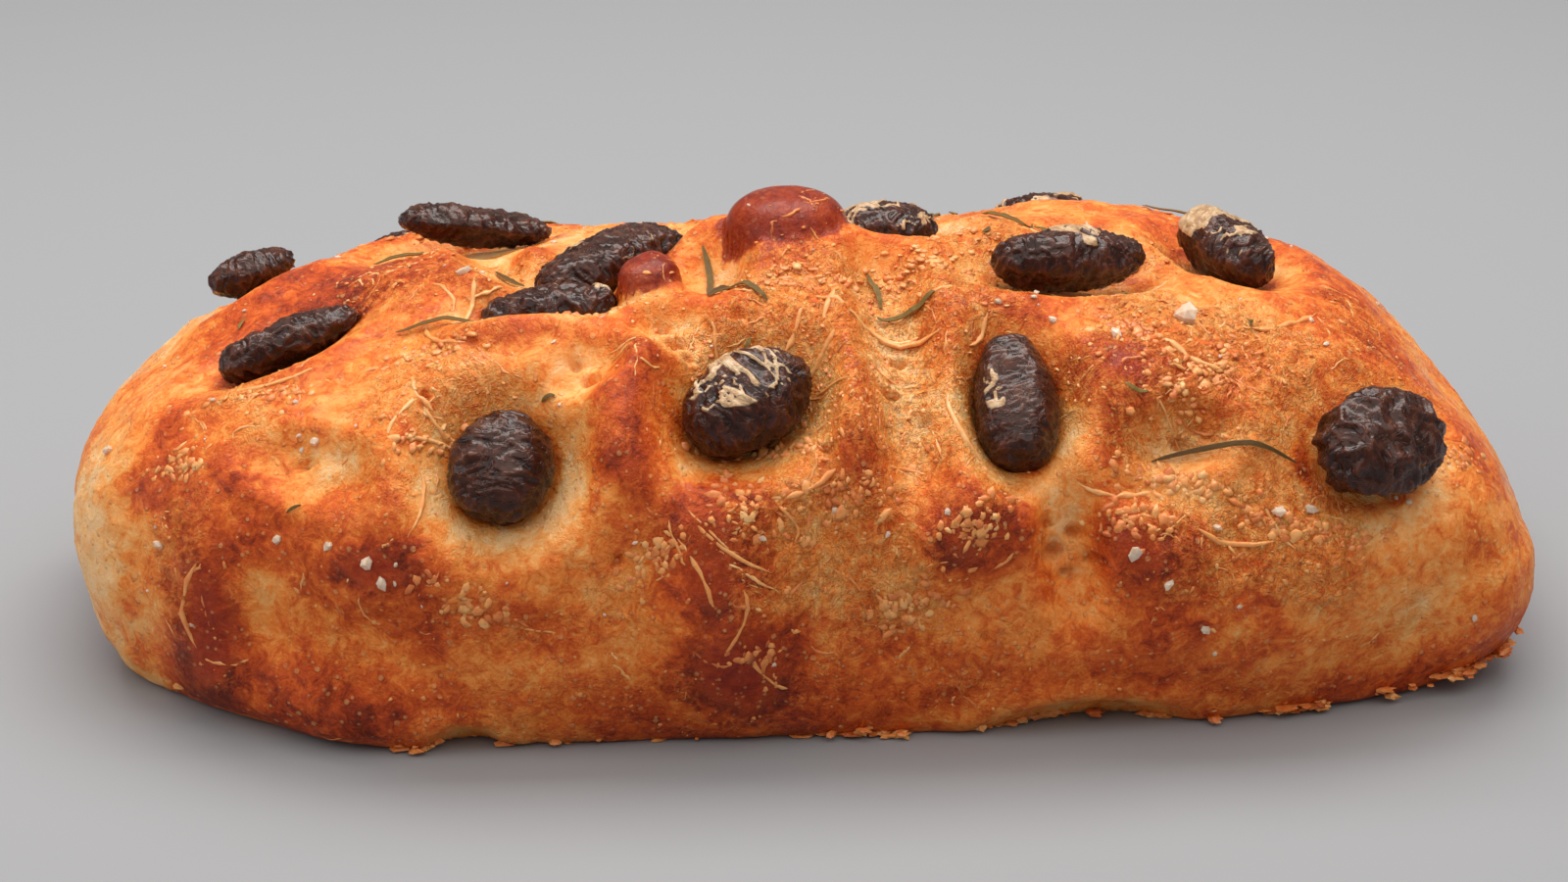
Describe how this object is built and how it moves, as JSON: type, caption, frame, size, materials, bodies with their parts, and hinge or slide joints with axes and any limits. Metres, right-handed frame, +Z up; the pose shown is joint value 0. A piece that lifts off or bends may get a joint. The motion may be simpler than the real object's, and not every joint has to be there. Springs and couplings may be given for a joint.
{
  "type": "olive focaccia loaf",
  "caption": "Oblong hand-shaped focaccia loaf with a dimpled golden crust, whole dark olives pressed in, rosemary, baked cheese and coarse salt.",
  "frame": {"origin": "middle of the loaf's flat base, on the surface it rests on", "axes": "+X along the loaf to its right end, -Y towards its front, +Z up through the crust"},
  "size_m": [0.2348, 0.1136, 0.071],
  "materials": {
    "crust": "baked, lightly oiled golden-brown crust",
    "olive": "wrinkled, oily dark brown olive skin"
  },
  "bodies": {
    "root": {"loaf": "crust", "olive_front_left": "olive", "olive_front_middle": "olive", "olive_front_deep": "olive", "olive_front_right": "olive", "olive_left_shoulder": "olive", "olive_left_end": "olive", "olive_left_back": "olive", "olive_pair_back": "olive", "olive_pair_front": "olive", "olive_middle_back": "olive", "olive_top_middle": "olive", "olive_top_right": "olive", "olive_right_shoulder": "olive", "olive_rear_left": "olive", "olive_rear_right": "olive"}
  },
  "joints": []
}
